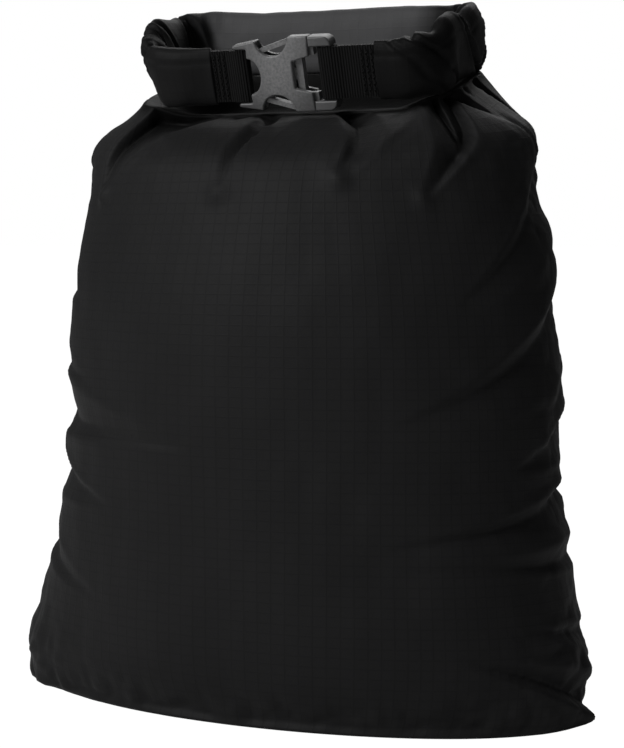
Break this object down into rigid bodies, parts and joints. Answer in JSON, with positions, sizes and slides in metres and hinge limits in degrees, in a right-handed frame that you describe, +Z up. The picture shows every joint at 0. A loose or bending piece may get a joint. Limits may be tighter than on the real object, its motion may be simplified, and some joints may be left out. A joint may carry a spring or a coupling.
{
  "type": "compression sack",
  "caption": "Roll-top fabric travel sack, stuffed full on an oval base, its rolled mouth bent forward into a loop and closed by a side-release buckle.",
  "frame": {"origin": "middle of the base panel's underside, on the floor", "axes": "+Z up along the sack, -Y towards the buckle, +X to the right of someone who faces the buckle"},
  "size_m": [0.2386, 0.126, 0.2759],
  "materials": {
    "sack_cloth": "satin",
    "seam_tape": "satin",
    "packed_clothes": "matte",
    "stiffener": "matte",
    "webbing": "matte",
    "thread": "satin",
    "buckle_plastic": "satin"
  },
  "bodies": {
    "sack": {"base_panel": "sack_cloth", "front_panel": "sack_cloth", "back_panel": "sack_cloth", "base_seam_tape": "seam_tape", "side_seam_tape_left": "seam_tape", "side_seam_tape_right": "seam_tape", "packed_load": "packed_clothes"},
    "neck": {"neck_front": "sack_cloth", "neck_back": "sack_cloth"},
    "ring": {"roll_rear": "sack_cloth", "roll_bend_left": "sack_cloth", "roll_bend_right": "sack_cloth", "mouth_stiffener": "stiffener"},
    "left_arm": {"roll_arm_left": "sack_cloth", "webbing_left": "webbing", "tack_stitching_left": "thread", "buckle_socket": "buckle_plastic"},
    "right_arm": {"roll_arm_right": "sack_cloth", "webbing_right": "webbing", "tack_stitching_right": "thread", "buckle_plug": "buckle_plastic"},
    "prong_upper": {"buckle_prong_upper": "buckle_plastic"},
    "prong_lower": {"buckle_prong_lower": "buckle_plastic"}
  },
  "joints": [
    {"name": "compress", "type": "slide", "parent": "sack", "child": "neck", "axis": [0, 0, -1], "range_m": [0, 0.045], "stiffness_N_per_m": 300, "springref_m": -0.005, "deforming": ["front_panel", "back_panel", "side_seam_tape_left", "side_seam_tape_right", "base_seam_tape", "packed_load"]},
    {"name": "ring_lift", "type": "hinge", "parent": "neck", "child": "ring", "pos_m": [0, 0.03509, 0.25428], "axis": [-1, 0, 0], "range_deg": [0, 50]},
    {"name": "left_arm_spread", "type": "slide", "parent": "ring", "child": "left_arm", "axis": [-1, 0, 0], "range_m": [0, 0.026], "deforming": ["roll_bend_left", "mouth_stiffener", "buckle_prong_upper", "buckle_prong_lower"]},
    {"name": "right_arm_spread", "type": "slide", "parent": "ring", "child": "right_arm", "axis": [1, 0, 0], "range_m": [0, 0.026], "deforming": ["roll_bend_right", "mouth_stiffener", "buckle_prong_upper", "buckle_prong_lower"]},
    {"name": "prong_upper_squeeze", "type": "hinge", "parent": "right_arm", "child": "prong_upper", "pos_m": [0.0136, -0.03003, 0.25731], "axis": [0, -0.9511, -0.309], "range_deg": [0, 8], "stiffness_Nm_per_rad": 0.05},
    {"name": "prong_lower_squeeze", "type": "hinge", "parent": "right_arm", "child": "prong_lower", "pos_m": [0.0136, -0.02323, 0.23639], "axis": [0, 0.9511, 0.309], "range_deg": [0, 8], "stiffness_Nm_per_rad": 0.05}
  ],
  "couplings": [
    {"joint": "prong_lower_squeeze", "follows": "prong_upper_squeeze", "ratio": 1}
  ]
}
